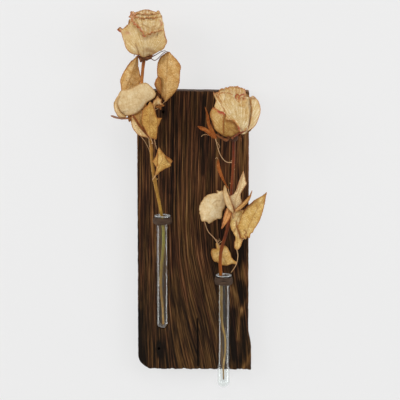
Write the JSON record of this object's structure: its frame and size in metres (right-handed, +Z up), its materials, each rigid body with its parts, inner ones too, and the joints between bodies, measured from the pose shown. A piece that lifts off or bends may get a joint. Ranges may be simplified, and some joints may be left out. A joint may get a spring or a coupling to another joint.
{
  "type": "wall mounted glass flower tube",
  "caption": "Stained wooden plank that hangs on a wall and holds glass test tubes in turned rings, each with a dried rose standing in it.",
  "frame": {"origin": "centre of the keyhole hanger's entrance hole, on the wall plane at the back of the plank", "axes": "+X to the viewer's right, +Y into the wall, +Z up"},
  "size_m": [0.2015, 0.0811, 0.4923],
  "materials": {
    "stained_board": "dark walnut stain on reclaimed softwood, matt, saw marked ends",
    "hanger_steel": "zinc plated pressed steel",
    "screw_steel": "zinc plated countersunk wood screws",
    "ring_wood": "turned hardwood, grey brown stain, matt",
    "peg_wood": "turned hardwood, grey brown stain, matt",
    "glass": "clear laboratory glass, fire polished lip",
    "left_stem": "dried rose stem, ochre brown, ridged",
    "right_stem": "dried rose stem, red brown, ridged",
    "hip": "dried rose hip, dark brown",
    "sepals": "dried sepals, brown",
    "stalks": "dried leaf stalks and tendrils",
    "left_petals": "dried petals, straw with red brown crumpled edges",
    "right_petals": "dried petals, pale straw with pink edges",
    "pale_leaf": "dried leaf, pale straw underside",
    "orange_leaf": "dried curled leaf, orange brown",
    "tan_leaf": "dried leaf, golden tan"
  },
  "bodies": {
    "backboard": {"backboard": "stained_board", "keyhole_plate": "hanger_steel", "keyhole_screws": "screw_steel", "left_ring": "ring_wood", "left_ring_peg": "peg_wood", "right_ring": "ring_wood", "right_ring_peg": "peg_wood"},
    "left_tube": {"left_tube": "glass"},
    "left_rose": {"left_leaf_edgewise": "tan_leaf", "left_leaf_folded": "tan_leaf", "left_leaf_lower": "tan_leaf", "left_leaf_middle": "tan_leaf", "left_leaf_pale": "pale_leaf", "left_leaf_small": "tan_leaf", "left_leaf_top_left": "tan_leaf", "left_leaf_top_right": "tan_leaf", "left_rose_heart": "left_petals", "left_rose_hip": "hip", "left_rose_inner_petals": "left_petals", "left_rose_outer_petals": "left_petals", "left_rose_petioles": "stalks", "left_rose_sepals": "sepals", "left_rose_stem": "left_stem"},
    "right_tube": {"right_tube": "glass"},
    "right_rose": {"right_leaf_bract": "orange_leaf", "right_leaf_curled_long": "orange_leaf", "right_leaf_curled_short": "orange_leaf", "right_leaf_folded": "tan_leaf", "right_leaf_hanging": "tan_leaf", "right_leaf_large": "tan_leaf", "right_leaf_pale": "pale_leaf", "right_leaf_round": "tan_leaf", "right_leaf_short": "orange_leaf", "right_leaf_upper": "tan_leaf", "right_leaf_upright": "tan_leaf", "right_rose_heart": "right_petals", "right_rose_hip": "hip", "right_rose_inner_petals": "right_petals", "right_rose_outer_petals": "right_petals", "right_rose_petioles": "stalks", "right_rose_sepals": "sepals", "right_rose_stem": "right_stem"}
  },
  "joints": [
    {"name": "left_tube_lift", "type": "slide", "parent": "backboard", "child": "left_tube", "axis": [0, 0, 1], "range_m": [0, 0.16]},
    {"name": "left_rose_lift", "type": "slide", "parent": "left_tube", "child": "left_rose", "axis": [0, 0, 1], "range_m": [0, 0.155]},
    {"name": "right_tube_lift", "type": "slide", "parent": "backboard", "child": "right_tube", "axis": [0, 0, 1], "range_m": [0, 0.16]},
    {"name": "right_rose_lift", "type": "slide", "parent": "right_tube", "child": "right_rose", "axis": [0, 0, 1], "range_m": [0, 0.155]}
  ]
}
